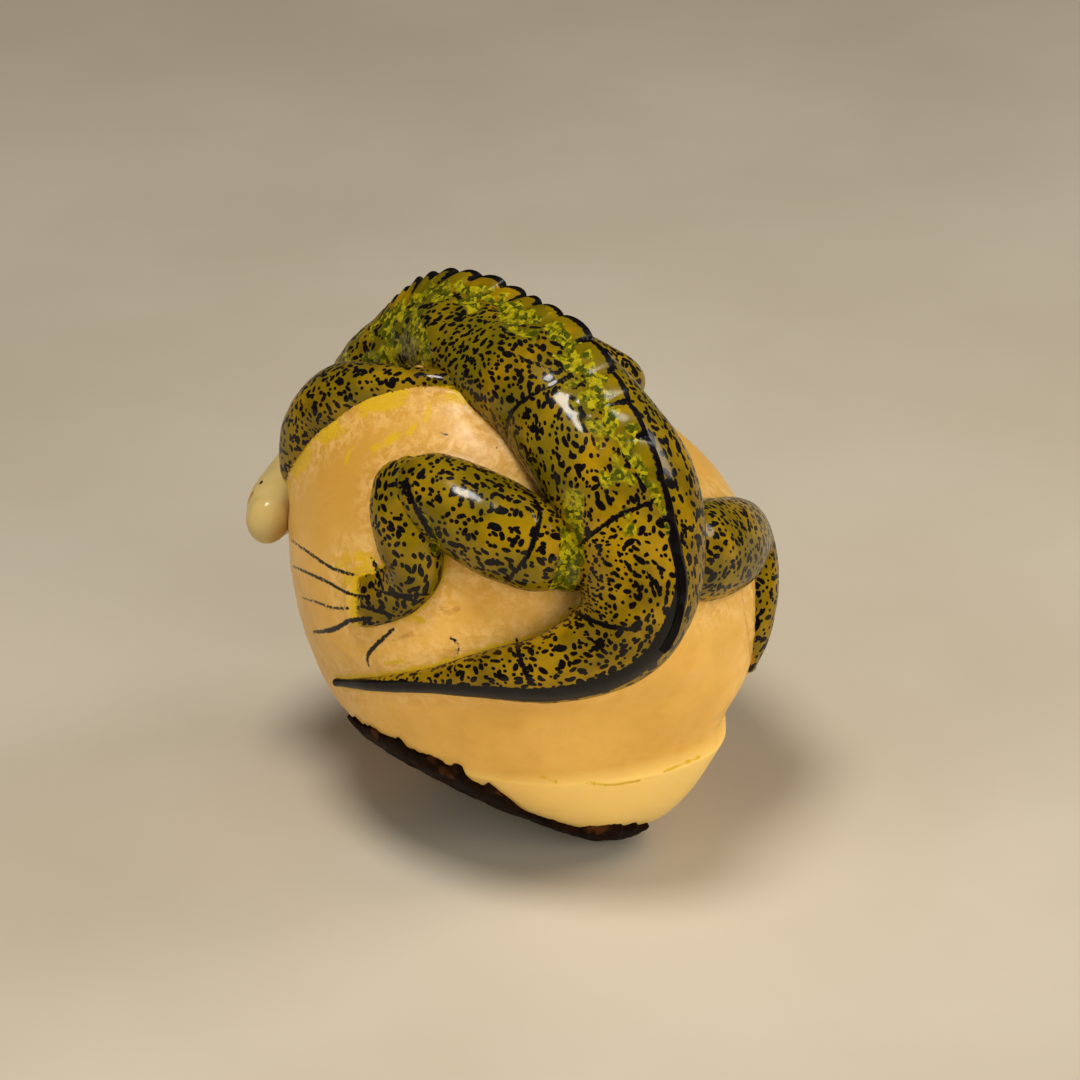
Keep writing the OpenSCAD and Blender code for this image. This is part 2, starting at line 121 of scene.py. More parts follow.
# The limbs from root to end: longitude, latitude, thickness, sunk share, roll, width share
LIMB_ROWS = {
    "left_thigh": [
        (-80, 32, 0.75 * THIGH, 0.20),
        (-88, 34.5, 0.95 * THIGH, 0.24),
        (-97, 37.8, 1.04 * THIGH, 0.28),
        (-107, 41, THIGH, 0.30),
        (-115.5, 43, 0.90 * THIGH, 0.31),
        (-121.5, 44.2, 0.76 * THIGH, 0.31),
        (-125.5, 44.8, 0.50 * THIGH, 0.28),
        (-127.2, 45, 0.20 * THIGH, 0.22),
    ],
    "left_shin": [
        (-128.2, 46.6, 0.45 * SHIN, 0.32),
        (-127.6, 45, 0.85 * SHIN, 0.34),
        (-126.4, 42.4, 1.02 * SHIN, 0.34, 0, 1.1),
        (-124, 38.5, 1.08 * SHIN, 0.34, 0, 1.15),
        (-121, 32.5, SHIN, 0.36, 0, 1.2),
        (-119.5, 27, 0.78 * SHIN, 0.40, 0, 1.3),
        (-122.5, 22.3, 0.55 * SHIN, 0.50, 0, 1.75),
        (-127.5, 19, 0.36 * SHIN, 0.55, 0, 2.7),
        (-133, 17.2, 0.26 * SHIN, 0.55, 0, 4.2),
        (-138.5, 16, 0.16 * SHIN, 0.75, 0, 6.2),
    ],
    "right_leg": [
        (-50, 28.5, 0.90 * THIGH, 0.42),
        (-42, 26.5, THIGH, 0.45, 0, 1.12),
        (-33, 24, THIGH, 0.50, 0, 1.18),
        (-24, 21.5, 0.96 * THIGH, 0.54, 0, 1.18),
        (-14, 19, 0.90 * THIGH, 0.60, 0, 1.15),
        (-5, 15.5, 0.80 * THIGH, 0.64, 0, 1.1),
        (-2, 9.5, 1.02 * SHIN, 0.63, 0, 1.1),
        (-6, 3.5, 0.98 * SHIN, 0.65, 0, 1.1),
        (-11, -2.5, 0.85 * SHIN, 0.66, 0, 1.1),
        (-15, -8.5, 0.60 * SHIN, 0.64, 0, 1.1),
        (-18, -14, 0.30 * SHIN, 0.60, 0, 1.1),
    ],
    "left_arm": [
        (-126, 68.5, 0.38 * LEFT_ARM, 0.34),
        (-140, 65.5, 0.40 * LEFT_ARM, 0.38),
        (-152, 61, 0.51 * LEFT_ARM, 0.40, 0, 1.1),
        (-163, 56, 0.74 * LEFT_ARM, 0.38, 0, 1.15),
        (-171, 50.5, 0.96 * LEFT_ARM, 0.34, 0, 1.28),
        (-176, 45, LEFT_ARM, 0.34, 0, 1.3),
        (-178, 39, 0.90 * LEFT_ARM, 0.36, 0, 1.3),
        (-179, 33.5, 0.70 * LEFT_ARM, 0.38, 0, 1.2),
        (-180, 28.5, 0.48 * LEFT_ARM, 0.38, 0, 1.1),
        (-182, 24.5, 0.22 * LEFT_ARM, 0.35),
    ],
    "right_arm": [
        (118, 79, 0.75 * RIGHT_ARM, 0.12),
        (95, 71, 0.92 * RIGHT_ARM, 0.10),
        (77, 61, RIGHT_ARM, 0.12),
        (66, 51, RIGHT_ARM, 0.22),
        (59, 42.5, RIGHT_ARM, 0.32),
        (60, 37, 0.92 * RIGHT_ARM, 0.38),
        (66, 32, 0.75 * RIGHT_ARM, 0.34),
        (73, 28.5, 0.55 * RIGHT_ARM, 0.40),
        (78, 26.5, 0.30 * RIGHT_ARM, 0.40),
    ],
}
# The nodes that a limb's piece stands for, where they aren't the one of its own name
LIMB_NODES = {
    "left_arm": ["left_upper_arm", "left_forearm"],
    "right_arm": ["right_upper_arm", "right_forearm"],
    "right_leg": ["right_thigh", "right_shin"],
}

# Claws inked round the feet that the photograph hides: longitude and latitude where they part and end
CLAW_WIDTH = 0.4
CLAW_POINTS = 25
HIDDEN_CLAWS = {
    "right_foot": ((-15, -11), [(-13, -24), (-8, -23), (-4, -20), (-2, -14)]),
    "right_hand": ((74, 28), [(80, 17), (87, 17), (92, 22), (92, 28)]),
    "left_hand": ((178, 26), [(170, 22), (172, 19.5), (176, 18.5)]),
}

# Crest: its ends along the spine, its height, how far its root lies from its edge on the near and far side
CREST_FROM, CREST_TO = 7.6, 16.6
CREST_HEIGHT = 1.4
NOTCH_HEIGHT = 0.65
CREST_NEAR, CREST_FAR = 2.6, 0.8
# The shares of its length over which the near side narrows, and to what share of its width
CREST_NARROWS = (0.66, 0.8)
CREST_NARROW = 0.3
# How deep the foot of its sides and its underside lie in the back
CREST_FOOT = 0.6
CREST_UNDER = 1.2
# Its plates, how much longer they grow toward the tail, and how far they lean and peak late
CREST_PLATES = 22
PLATE_GROWTH = 2
PLATE_LEAN = 0.35
PLATE_PEAK = 1.35
# Shares of its length between which it has its full height and from which it has the height on the tail
CREST_FULL = (0.18, 0.6, 0.95)
CREST_TAIL_HEIGHT = 0.35
CREST_LEAST = 0.35
# The share of its length over which it rises to its least height
CREST_STARTS = 0.06
# Width of the ink along its edge, how much wider it gets on the tail and where, and the ink in its notches
EDGE_INK, TAIL_INK = 0.42, 1.2
TAIL_INK_WIDENS = (0.8, 0.9)
NOTCH_INK = 0.26

# Grain of the meshes: the length of a face on each kind of piece, and the number of faces round and up it
BODY_STEP = 0.27
LIMB_STEP = 0.2
CREST_STEP = 0.12
BODY_SIDES, LIMB_SIDES, TAIL_SIDES = 128, 72, 64
NUT_COLUMNS = 350
ROWS_UNDER_LIP, ROWS_ON_LIP, ROWS_OVER_LIP = 70, 60, 150
SKIN_COLUMNS, SKIN_ROWS = 420, 60
# Latitudes of the nut's last rows at the poles, how far its dense rows reach past the lip, and the next row
POLE_ROW, LAST_ROW = 89.6, 88
LIP_MARGIN, LIP_GAP = 3, 0.7
# How deep a carved form bites into the nut
BITE = 0.3
# How far the unrolled skin of a sleeve runs on over its last round end
TIP_RUN = 0.3

# Relief, in layers of height, size of the lumps and field of the noise
UNEVEN = [(0.08, 3.5, 1), (0.03, 1.2, 2)]
TORN = [(0.22, 0.8, 9), (0.12, 0.4, 10)]
GOUGE_DEPTH = 0.2
BLADE_STRIPS = [(0.07, 1.1, 15), (0.035, 0.45, 16)]
BLADE_FACETS = [(0.14, 5.0, 17)]
HUSK = [(0.16, 1.4, 5), (0.08, 0.6, 6)]
HUSK_EDGE = [(1.6, 1.3, 3), (1.2, 0.5, 4)]
# How the nut rises to what was carved on it: height and reach all round, and in front of the near arm
WELD_HEIGHT, WELD_REACH = 0.2, 0.7
FILLET_HEIGHT, FILLET_REACH = 0.8, 2.4

# Marks along the body, in rows of the spine: from where to where they come or go, and by how much
# The keel's black on the tail is partly real ink and partly painted shadow under the tail's lower edge
KEEL_INK_AND_SHADOW_WIDENS = [(14.6, 15.4, 0.45), (15.4, 16.6, 0.65), (18, 20.5, -0.4)]
KEEL_MOVES = (15.2, 16.4)
KEEL_SHIFT = 0.6
CREST_ROOT_ENDS = (14.0, 15.6)
NECK_STARTS, NECK_ENDS = (5.0, 6.0), (9.3, 10.2)
SNOUT_ENDS = (2.4, 4.2)
TIP_STARTS = (TIP_AT - 1.5, TIP_AT - 0.5)
GREEN_LOST = [(9.0, 12.0, 0.3), (12.5, 15.5, 0.6)]
# How green the olive is on the limbs and the crest
LIMB_GREEN, CREST_GREEN = 0.5, 0.6
# Heights over the nut within which a limb's dye runs out, and the rows in which it does so on the foot
DYE_ENDS = {"left_arm": 1.4, "left_shin": 0.35}
DYE_ENDS_ELSEWHERE = 0.1
FOOT_FADES = (7.6, 8.8)

# Ink strokes, as pixels of the photograph: width in millimetres and the points that the pen went through
INK_STROKES = {
    "claw_1": (0.36, [(291, 540), (308, 552), (326, 565), (340, 571), (356, 575)]),
    "claw_2": (0.34, [(292, 566), (308, 573), (329, 583), (350, 594), (368, 597)]),
    "claw_3": (0.27, [(300, 597), (316, 602), (333, 608), (349, 608)]),
    "claw_4": (0.46, [(313, 632), (326, 631), (337, 628), (349, 621), (371, 618)]),
    "claw_5": (0.40, [(368, 668), (368, 655), (379, 642), (393, 629)]),
    "claw_hook": (0.16, [(313, 634), (318, 644)]),
    "toe_1": (0.36, [(371, 557), (377, 570), (383, 590)]),
    "toe_2": (0.26, [(373, 560), (386, 575)]),
    "toe_3": (0.42, [(374, 589), (390, 594), (408, 599), (423, 603)]),
    "toe_4": (0.34, [(388, 590), (405, 595), (430, 594)]),
    "toe_5": (0.42, [(360, 605), (377, 611), (394, 616)]),
    "tail_mark_1": (0.32, [(448, 637), (457, 644), (454, 669)]),
    "tail_mark_2": (0.5, [(516, 637), (520, 658), (530, 682)]),
    "tail_mark_3": (0.45, [(567, 607), (590, 620), (618, 628), (640, 629)]),
    "thigh_ring": (0.5, [(524, 488), (536, 500), (540, 516), (532, 547), (519, 568), (504, 584)]),
    "knee_groove": (0.6, [(405, 478), (410, 496), (417, 513), (428, 533), (434, 542)]),
    "flank_fold_1": (0.45, [(569, 374), (548, 386), (530, 395), (512, 410), (506, 424), (506, 434)]),
    "flank_fold_2": (0.45, [(656, 498), (640, 507), (622, 514), (600, 528), (577, 547)]),
    "flank_fold_3": (0.3, [(508, 352), (522, 358), (540, 366), (556, 370)]),
    "scratch": (0.14, [(302, 480), (302, 500)]),
    "speck_1": (0.22, [(440, 433), (447, 435)]),
    "speck_2": (0.16, [(450, 437), (453, 439)]),
    "speck_3": (0.22, [(494, 443), (498, 448)]),
    "nostril": (0.5, [(258, 484), (261, 482)]),
}
# Strokes that are cut as well as inked, and how deep and wide
CUT_STROKES = {
    "thigh_ring": (0.12, 0.5),
    "knee_groove": (0.15, 0.6),
    "flank_fold_1": (0.16, 0.7),
    "flank_fold_2": (0.12, 0.6),
}
# Rough gouges, as pixels of the photograph: width in millimetres and the points that the gouge went through
GOUGES = {
    "hip": (2.6, [(572, 500), (574, 530), (570, 562), (562, 588), (545, 596)]),
    "knee": (1.2, [(424, 520), (432, 536), (438, 550)]),
    "armpit": (2.2, [(418, 374), (424, 358), (420, 338), (412, 322)]),
}
# Brown and orange stains, in the same way
STAINS = {
    "snout": (0.9, [(252, 494), (247, 505), (245, 517)]),
    "foot": (0.8, [(394, 640), (404, 637), (412, 634)]),
    "smudge": (0.9, [(440, 607), (449, 613), (458, 608)]),
    "right_leg": (0.8, [(742, 592), (747, 625), (751, 664)]),
}
# Smears of dye on the nut, in the same way
SMEARS = {
    "arm_1": (1.0, [(345, 462), (352, 447)]),
    "arm_2": (1.2, [(372, 450), (384, 443), (396, 436)]),
    "arm_3": (0.9, [(408, 434), (416, 424)]),
    "arm_4": (0.9, [(425, 420), (431, 405)]),
    "foot_1": (1.6, [(337, 564), (352, 557), (372, 560)]),
    "foot_2": (1.0, [(398, 618), (422, 621)]),
    "tail_1": (0.7, [(384, 664), (405, 661)]),
    "lip_1": (0.45, [(541, 777), (556, 782)]),
    "lip_2": (0.5, [(588, 784), (615, 785), (640, 781)]),
    "lip_3": (0.45, [(664, 772), (700, 757)]),
}


def unit(v):
    return v / np.linalg.norm(v, axis=-1, keepdims=True)


def direction(lon, lat):
    lon, lat = np.radians(lon), np.radians(lat)
    return np.stack([np.cos(lat) * np.cos(lon), np.cos(lat) * np.sin(lon), np.sin(lat)], -1)


def ramp(x, start, end):
    t = np.clip((x - start) / (end - start), 0, 1)
    return t * t * (3 - 2 * t)


def about(lon, middle, reach):
    """1 at a longitude, falling to 0 at a reach to each side of it."""
    return 1 - ramp(np.abs((lon - middle + 540) % 360 - 180), 0, reach)


def lumps(points, size, seed=0):
    """Smooth noise from about -1 to 1 with lumps of that size."""
    shift = Vector((seed * 7.3, seed * 3.1, seed * 5.7))
    return np.array([noise.noise(Vector(p) + shift) for p in (points / size)])


def relief(points, layers):
    return sum(height * lumps(points, size, seed) for height, size, seed in layers)


def scatter(numbers, step):
    """A share from 0 to 1 for each whole number, without order but the same each time."""
    return numbers * step % 1


# The nut
NUT_MIDDLE = np.array([-FOOT_OFFSET, 0, MIDDLE_HEIGHT])
NUT_AXIS = np.array([-math.sin(math.radians(NUT_LEAN)), 0, math.cos(math.radians(NUT_LEAN))])
NUT_ACROSS = np.array([math.cos(math.radians(NUT_LEAN)), 0, math.sin(math.radians(NUT_LEAN))])
FLAT_FACING = unit(np.array([-0.43, -0.37, -0.82]))
NUT_FLATS = [
    (np.array([0, 0, -1]), MIDDLE_HEIGHT - FOOT_SKIN),
    (FLAT_FACING, 18.7),
    (unit(np.array([0.50, 0.05, 0.86])), 16.5),
    (unit(np.array([-0.35, 0.60, 0.72])), 18.5),
    (unit(np.array([0.80, 0.20, -0.45])), 19.4),
]


def carved(lon, lat):
    """How far the carver went in: the hollow under the tail, ended by a crisp lip."""
    hollow = ramp(lat, WAIST_TOP, WAIST_DEEP) * (1 - ramp(lat, WAIST_DEEP, LIP_FOOT))
    groove = ramp(lat, WAIST_DEEP, LIP_TOP) * (1 - ramp(lat, LIP_TOP, LIP_FOOT))
    waist = WAIST_DEPTH * about(lon, WAIST_MIDDLE, WAIST_REACH) * hollow
    return waist + LIP_HEIGHT * about(lon, LIP_MIDDLE, LIP_REACH) * groove


def nut_radius(d):
    """Radius of the kernel along unit directions: a leaning egg with flats, less what was carved."""
    across = [d @ NUT_AXIS / NUT_LENGTH, d @ NUT_ACROSS / NUT_BREADTH, d[..., 1] / NUT_BREADTH]
    total = (0.5 / np.linalg.norm(np.stack(across, -1), axis=-1)) ** -FLAT_CRISPNESS
    for facing, distance in NUT_FLATS:
        total = total + (distance / np.maximum(d @ facing, 0.01)) ** -FLAT_CRISPNESS
    lon = np.degrees(np.arctan2(d[..., 1], d[..., 0]))
    lat = np.degrees(np.arcsin(np.clip(d[..., 2], -1, 1)))
    return total ** (-1 / FLAT_CRISPNESS) - carved(lon, lat)


def on_nut(lon, lat, lift):
    d = direction(lon, lat)
    return NUT_MIDDLE + d * (nut_radius(d) + lift)[..., None]


def height_over_nut(points):
    v = points - NUT_MIDDLE
    return np.linalg.norm(v, axis=-1) - nut_radius(unit(v))


def out_of_nut(points, depth):
    """Points deeper in the nut than that are brought up to it."""
    v = points - NUT_MIDDLE
    d = unit(v)
    return NUT_MIDDLE + d * np.maximum(np.linalg.norm(v, axis=-1), nut_radius(d) - depth)[..., None]


# Paths on the nut and the bodies swept along them
Sections = namedtuple("Sections", "middle side up wide thick")
Form = namedtuple("Form", "points faces")


def placed(rows):
    """Rows on the nut become rows of x, y, z, half thickness, roll and width share."""
    path = []
    for lon, lat, thickness, sunk, *rest in rows:
        roll, width = rest + [0, WIDTH_RATIO][len(rest):]
        middle = on_nut(np.float64(lon), np.float64(lat), np.float64(thickness * (0.5 - sunk)))
        path.append([*middle, thickness / 2, roll, width])
    return np.array(path)


def along(path, t):
    """A smooth curve through the rows of a path, t counted in rows."""
    last = len(path) - 1
    i = np.clip(np.floor(t).astype(int), 0, last - 1)
    f = (t - i)[:, None]
    a, b, c, d = (path[np.clip(i + k, 0, last)] for k in (-1, 0, 1, 2))
    return (2 * b + (c - a) * f + (2 * a - 5 * b + 4 * c - d) * f**2 + (3 * b - a - 3 * c + d) * f**3) / 2


def sections(path, t):
    row = along(path, t)
    last = len(path) - 1
    ahead, behind = along(path, np.minimum(t + 0.05, last)), along(path, np.maximum(t - 0.05, 0))
    forward = unit(ahead[:, :3] - behind[:, :3])
    across = unit(np.cross(forward, row[:, :3] - NUT_MIDDLE))
    out = np.cross(across, forward)
    cos, sin = np.cos(np.radians(row[:, 4:5])), np.sin(np.radians(row[:, 4:5]))
    side, up = across * cos + out * sin, out * cos - across * sin
    return Sections(row[:, :3], side, up, row[:, 3] * row[:, 5], row[:, 3])


def even_steps(path, start, end, step):
    """Places along a path, counted in rows, that lie about that far apart, and how far along each one is."""
    fine = np.linspace(start, end, 3000)
    moves = np.linalg.norm(np.diff(along(path, fine)[:, :3], axis=0), axis=1)
    run = np.concatenate([[0], np.cumsum(moves)])
    at = np.linspace(0, run[-1], max(3, round(run[-1] / step) + 1))
    return np.interp(at, run, fine), at


def rounded(s, rings=9):
    """Sections with a round end added before the first one and after the last one."""
    forward = np.cross(s.up, s.side)
    parts = []
    angles = np.radians(np.linspace(0, 90, rings + 1)[1:-1])
    for end, sign, turn in ((0, -1, angles[::-1]), (-1, 1, angles)):
        reach = sign * np.sin(turn) * s.thick[end]
        parts.append(Sections(
            s.middle[end] + forward[end] * reach[:, None],
            np.repeat(s.side[end][None], len(turn), 0),
            np.repeat(s.up[end][None], len(turn), 0),
            s.wide[end] * np.cos(turn),
            s.thick[end] * np.cos(turn),
        ))
    return Sections(*(np.concatenate([a, b, c]) for a, b, c in zip(parts[0], s, parts[1])))


def swept(s, sides):
    """Rings of points round sections, the first one at their side and then up."""
    turn = np.radians(np.linspace(0, 360, sides, endpoint=False))
    across = s.side[:, None] * (s.wide[:, None] * np.cos(turn))[..., None]
    return s.middle[:, None] + across + s.up[:, None] * (s.thick[:, None] * np.sin(turn))[..., None]


def closed(rings):
    """A closed form over rings of equal count, each end closed to the middle of its ring."""
    n, m = rings.shape[:2]
    points = np.concatenate([rings.reshape(-1, 3), rings[[0, -1]].mean(1)])
    grid = np.arange(n * m).reshape(n, m)
    after = np.roll(grid, -1, 1)
    faces = np.stack([grid[:-1], after[:-1], after[1:], grid[1:]], -1).reshape(-1, 4).tolist()
    faces += [(n * m, b, a) for a, b in zip(grid[0], after[0])]
    faces += [(n * m + 1, a, b) for a, b in zip(grid[-1], after[-1])]
    a, b, c = points[np.array([f[:3] for f in faces])].transpose(1, 0, 2) - points.mean(0)
    if np.sum(a * np.cross(b, c)) < 0:
        faces = [f[::-1] for f in faces]
    return Form(points, faces)


def normals(form):
    """Outward direction at each point of a form."""
    corners = np.array([f if len(f) == 4 else (*f, f[2]) for f in form.faces])
    p = form.points[corners]
    facing = np.cross(p[:, 2] - p[:, 0], p[:, 3] - p[:, 1])
    total = np.zeros_like(form.points)
    for k in range(3):
        np.add.at(total, corners[:, k], facing)
    return unit(total + 1e-12)


def tree_of(forms):
    points, faces = [], []
    start = 0
    for form in forms:
        points.extend(form.points.tolist())
        faces.extend([[i + start for i in f] for f in form.faces])
        start += len(form.points)
    return BVHTree.FromPolygons(points, faces)


def distance_to(tree, points, most=20.0):
    found = (tree.find_nearest(Vector(p), most)[3] for p in points)
    return np.array([most if d is None else d for d in found])


# Camera
ELEVATION = math.radians(CAMERA_ELEVATION)
VIEW_FORWARD = np.array([0, math.cos(ELEVATION), -math.sin(ELEVATION)])
VIEW_UP = np.array([0, math.sin(ELEVATION), math.cos(ELEVATION)])
CAMERA_PLACE = CAMERA_TARGET - VIEW_FORWARD * CAMERA_DISTANCE


def make_camera():
    data = bpy.data.cameras.new("camera")
    data.sensor_width = SENSOR_WIDTH
    data.lens = SENSOR_WIDTH * CAMERA_DISTANCE / (PIXEL_SIZE * IMAGE_SIDE)
    data.clip_start, data.clip_end = 0.01, 10
    camera = bpy.data.objects.new("camera", data)
    camera.location = CAMERA_PLACE * MM
    camera.rotation_euler = (math.radians(90 - CAMERA_ELEVATION), 0, 0)
    bpy.context.scene.collection.objects.link(camera)
    bpy.context.scene.camera = camera


def through_pixel(tree, pixel):
    """Point of the object that shows at a pixel of the photograph, or None."""
    middle = IMAGE_SIDE / 2
    right, up = (pixel[0] - middle) * PIXEL_SIZE, (middle - pixel[1]) * PIXEL_SIZE
    ray = VIEW_FORWARD * CAMERA_DISTANCE + np.array([right, 0, 0]) + VIEW_UP * up
    return tree.ray_cast(Vector(CAMERA_PLACE), Vector(ray).normalized())[0]


def laid(tree, pixels, gap=3, leap=2):
    """A stroke through pixels laid on the object, as lines: starts, ends and shares of the stroke. A line
    longer than a leap would cross the air from one form to another, so it is left out."""
    pixels = np.array(pixels, float)
    length = np.linalg.norm(np.diff(pixels, axis=0), axis=1).sum()
    t = np.linspace(0, len(pixels) - 1, int(length / gap) + 2)
    points = [through_pixel(tree, p) for p in along(pixels, t)]
    pairs = [(a, b, k / len(t)) for k, (a, b) in enumerate(zip(points, points[1:])) if a and b]
    pairs = [(a, b, k) for a, b, k in pairs if (a - b).length < leap]
    return [np.array(x) for x in zip(*pairs)]


def all_laid(tree, lines):
    """Strokes of a table laid on the object, without those that miss it."""
    found = {name: (width, *laid(tree, pixels)) for name, (width, pixels) in lines.items()}
    return {name: line for name, line in found.items() if len(line) == 4}


def distance_to_lines(points, starts, ends):
    """Distance from each point to the nearest piece of a line, and which piece that is."""
    best = np.full(len(points), np.inf)
    which = np.zeros(len(points), int)
    for k, (a, b) in enumerate(zip(starts, ends)):
        along_line = np.clip((points - a) @ (b - a) / max((b - a) @ (b - a), 1e-9), 0, 1)
        d = np.linalg.norm(points - a - along_line[:, None] * (b - a), axis=1)
        which[d < best] = k
        best = np.minimum(best, d)
    return best, which


# Forms
def nut_form():
    lip = np.linspace(LIP_FOOT - LIP_MARGIN, LIP_TOP + LIP_MARGIN, ROWS_ON_LIP)
    under = np.linspace(-LAST_ROW, lip[0] - LIP_GAP, ROWS_UNDER_LIP)
    over = np.linspace(lip[-1] + LIP_GAP, LAST_ROW, ROWS_OVER_LIP)
    lats = np.concatenate([[-POLE_ROW], under, lip, over, [POLE_ROW]])
    lons = np.linspace(0, 360, NUT_COLUMNS, endpoint=False)
    lon, lat = np.meshgrid(lons, lats)
    return closed(on_nut(lon, lat, np.zeros_like(lon)))


spine = placed(SPINE_ROWS)
limbs = {name: placed(rows) for name, rows in LIMB_ROWS.items()}


def unrolled(s, run, sides):
    """For each point round sections: how far along it is, and how far round from the top."""
    off = (np.linspace(0, 360, sides, endpoint=False) + 90) % 360 - 180
    around = np.radians(off)[None] * ((s.wide + s.thick) / 2)[:, None]
    both = np.stack([np.broadcast_to(run[:, None], around.shape), around], -1).reshape(-1, 2)
    return np.concatenate([both, [[run[0], 0], [run[-1], 0]]])


def sleeve(path, step, sides):
    """A form swept along a whole path with round ends, its points unrolled, and their places in rows."""
    t, run = even_steps(path, 0, len(path) - 1, step)
    s = rounded(sections(path, t))
    extra = (len(s.middle) - len(t)) // 2
    run_out = (-s.thick[extra], run[-1] + TIP_RUN)
    t = np.pad(t, extra, "edge")
    run = np.pad(run, extra, "linear_ramp", end_values=run_out)
    form = closed(out_of_nut(swept(s, sides), BITE))
    return form, unrolled(s, run, sides), np.append(np.repeat(t, sides), [t[0], t[-1]])


def plates(part):
    """Number of the crest's plate at a share of its length; the fraction counts along the plate."""
    return CREST_PLATES * np.log1p(PLATE_GROWTH * part) / math.log1p(PLATE_GROWTH)


def crest_form():
    """A ridge of leaning plates along the back, the distance of its points to the edge of the ink, and the
    share of the near side that lies above them."""
    t, run = even_steps(spine, CREST_FROM, CREST_TO, CREST_STEP)
    s = sections(spine, t)
    v = np.concatenate([np.linspace(-1, 0, 15)[:-1], np.linspace(0, 1, 33)])
    v = np.sign(v) * np.abs(v) ** 1.3
    row_length = np.gradient(run, t)[:, None]
    rows = CREST_TO - CREST_FROM
    share = (t[:, None] - CREST_FROM) / rows
    near = CREST_NEAR * (1 - (1 - CREST_NARROW) * ramp(share, *CREST_NARROWS))
    down = np.where(v > 0, v * near, -v * CREST_FAR)
    part = np.clip(share + PLATE_LEAN * down * (v > 0) / row_length / rows, 0, 1)
    plate = plates(part)
    on_plate = plate % 1
    stands = NOTCH_HEIGHT + (1 - NOTCH_HEIGHT) * np.sin(np.pi * on_plate**PLATE_PEAK) ** 0.5
    back = CREST_TAIL_HEIGHT + (1 - CREST_TAIL_HEIGHT) * ramp(share, CREST_FULL[2], CREST_FULL[1])
    full = CREST_HEIGHT * ramp(share, 0, CREST_FULL[0]) * back * stands
    height = np.maximum(CREST_LEAST * ramp(share, 0, CREST_STARTS), full)
    chance = scatter(np.floor(plate), 0.755)
    slope = (1 - np.abs(v)) ** (0.8 + 0.6 * chance)
    rise = height * (0.9 + 0.2 * chance) * slope - CREST_FOOT * np.abs(v) ** 8
    turn = np.pi / 2 - np.sign(v) * np.arcsin(down / s.wide[:, None])
    top = s.middle[:, None] + s.side[:, None] * (s.wide[:, None] * np.cos(turn))[..., None]
    top = top + s.up[:, None] * (s.thick[:, None] * np.sin(turn) + rise)[..., None]
    under = s.middle + s.up * (s.thick - CREST_UNDER)[:, None]
    growth = (1 + PLATE_GROWTH * part) * math.log1p(PLATE_GROWTH) / PLATE_GROWTH
    to_notch = np.minimum(on_plate, 1 - on_plate) * row_length * rows * growth / CREST_PLATES
    soaked = 0.5 + 1.7 * scatter(np.floor(plate + 0.5), 0.618) ** 2
    edge = EDGE_INK + TAIL_INK * ramp(share, *TAIL_INK_WIDENS)
    ink = np.minimum(down - edge, np.maximum(to_notch - NOTCH_INK * (1.2 - down / 2), down - soaked))

    def whole(values):
        """Values on the top, with 1 on the underside and at the ends."""
        return np.append(np.concatenate([values, np.ones((len(t), 1))], 1).ravel(), [1, 1])

    form = closed(np.concatenate([top, under[:, None]], 1))
    return form, whole(ink), whole(np.broadcast_to(np.maximum(v, 0), ink.shape))


def skin_edge(lon):
    """Latitude of the seed skin's ragged edge: level round the foot, higher where it was left on the flat."""
    edge = np.full(lon.shape, float(SKIN_FOOT_EDGE))
    for climb, middle, keeps, reach in SKIN_CLIMBS:
        away = np.abs((lon - middle + 540) % 360 - 180)
        edge = np.maximum(edge, SKIN_FOOT_EDGE + climb * (1 - ramp(away, keeps, reach)))
    waves = sum(np.sin(np.radians(k * lon + shift)) for k, shift in ((5, 40), (11, 0), (17, 70))) / 3
    return edge + SKIN_RAGGED * waves


def skin_form():
    """A shell over the nut from the foot to its ragged edge, rough outside, flat where it stands."""
    lon = np.linspace(0, 360, SKIN_COLUMNS, endpoint=False)
    circle = direction(lon, np.zeros(SKIN_COLUMNS)) * 20
    flakes = np.interp((lon + 180) % 360 - 180, *np.transpose(SKIN_FLAKES))
    edge = skin_edge(lon) + flakes + relief(circle, HUSK_EDGE)
    shares = np.linspace(1 / SKIN_ROWS, 1, SKIN_ROWS)
    lat = -90 + (edge[None] + 90) * shares[:, None]
    lons = np.broadcast_to(lon, lat.shape)
    thick = SKIN_THICKNESS * (1 - SKIN_TAPER * shares**3)
    thick = thick * np.sqrt(np.clip((1.02 - shares) / SKIN_ROUNDING, 0, 1))
    outside = on_nut(lons, lat, np.broadcast_to(thick[:, None], lat.shape))
    rough = relief(outside.reshape(-1, 3), HUSK).reshape(lat.shape) * shares[:, None]
    outside = outside + unit(outside - NUT_MIDDLE) * rough[..., None]
    outside[..., 2] = np.maximum(outside[..., 2], 0)
    inside = on_nut(lons, lat, np.full(lat.shape, -SKIN_BITE))[::-1]
    return closed(np.concatenate([outside, inside]))


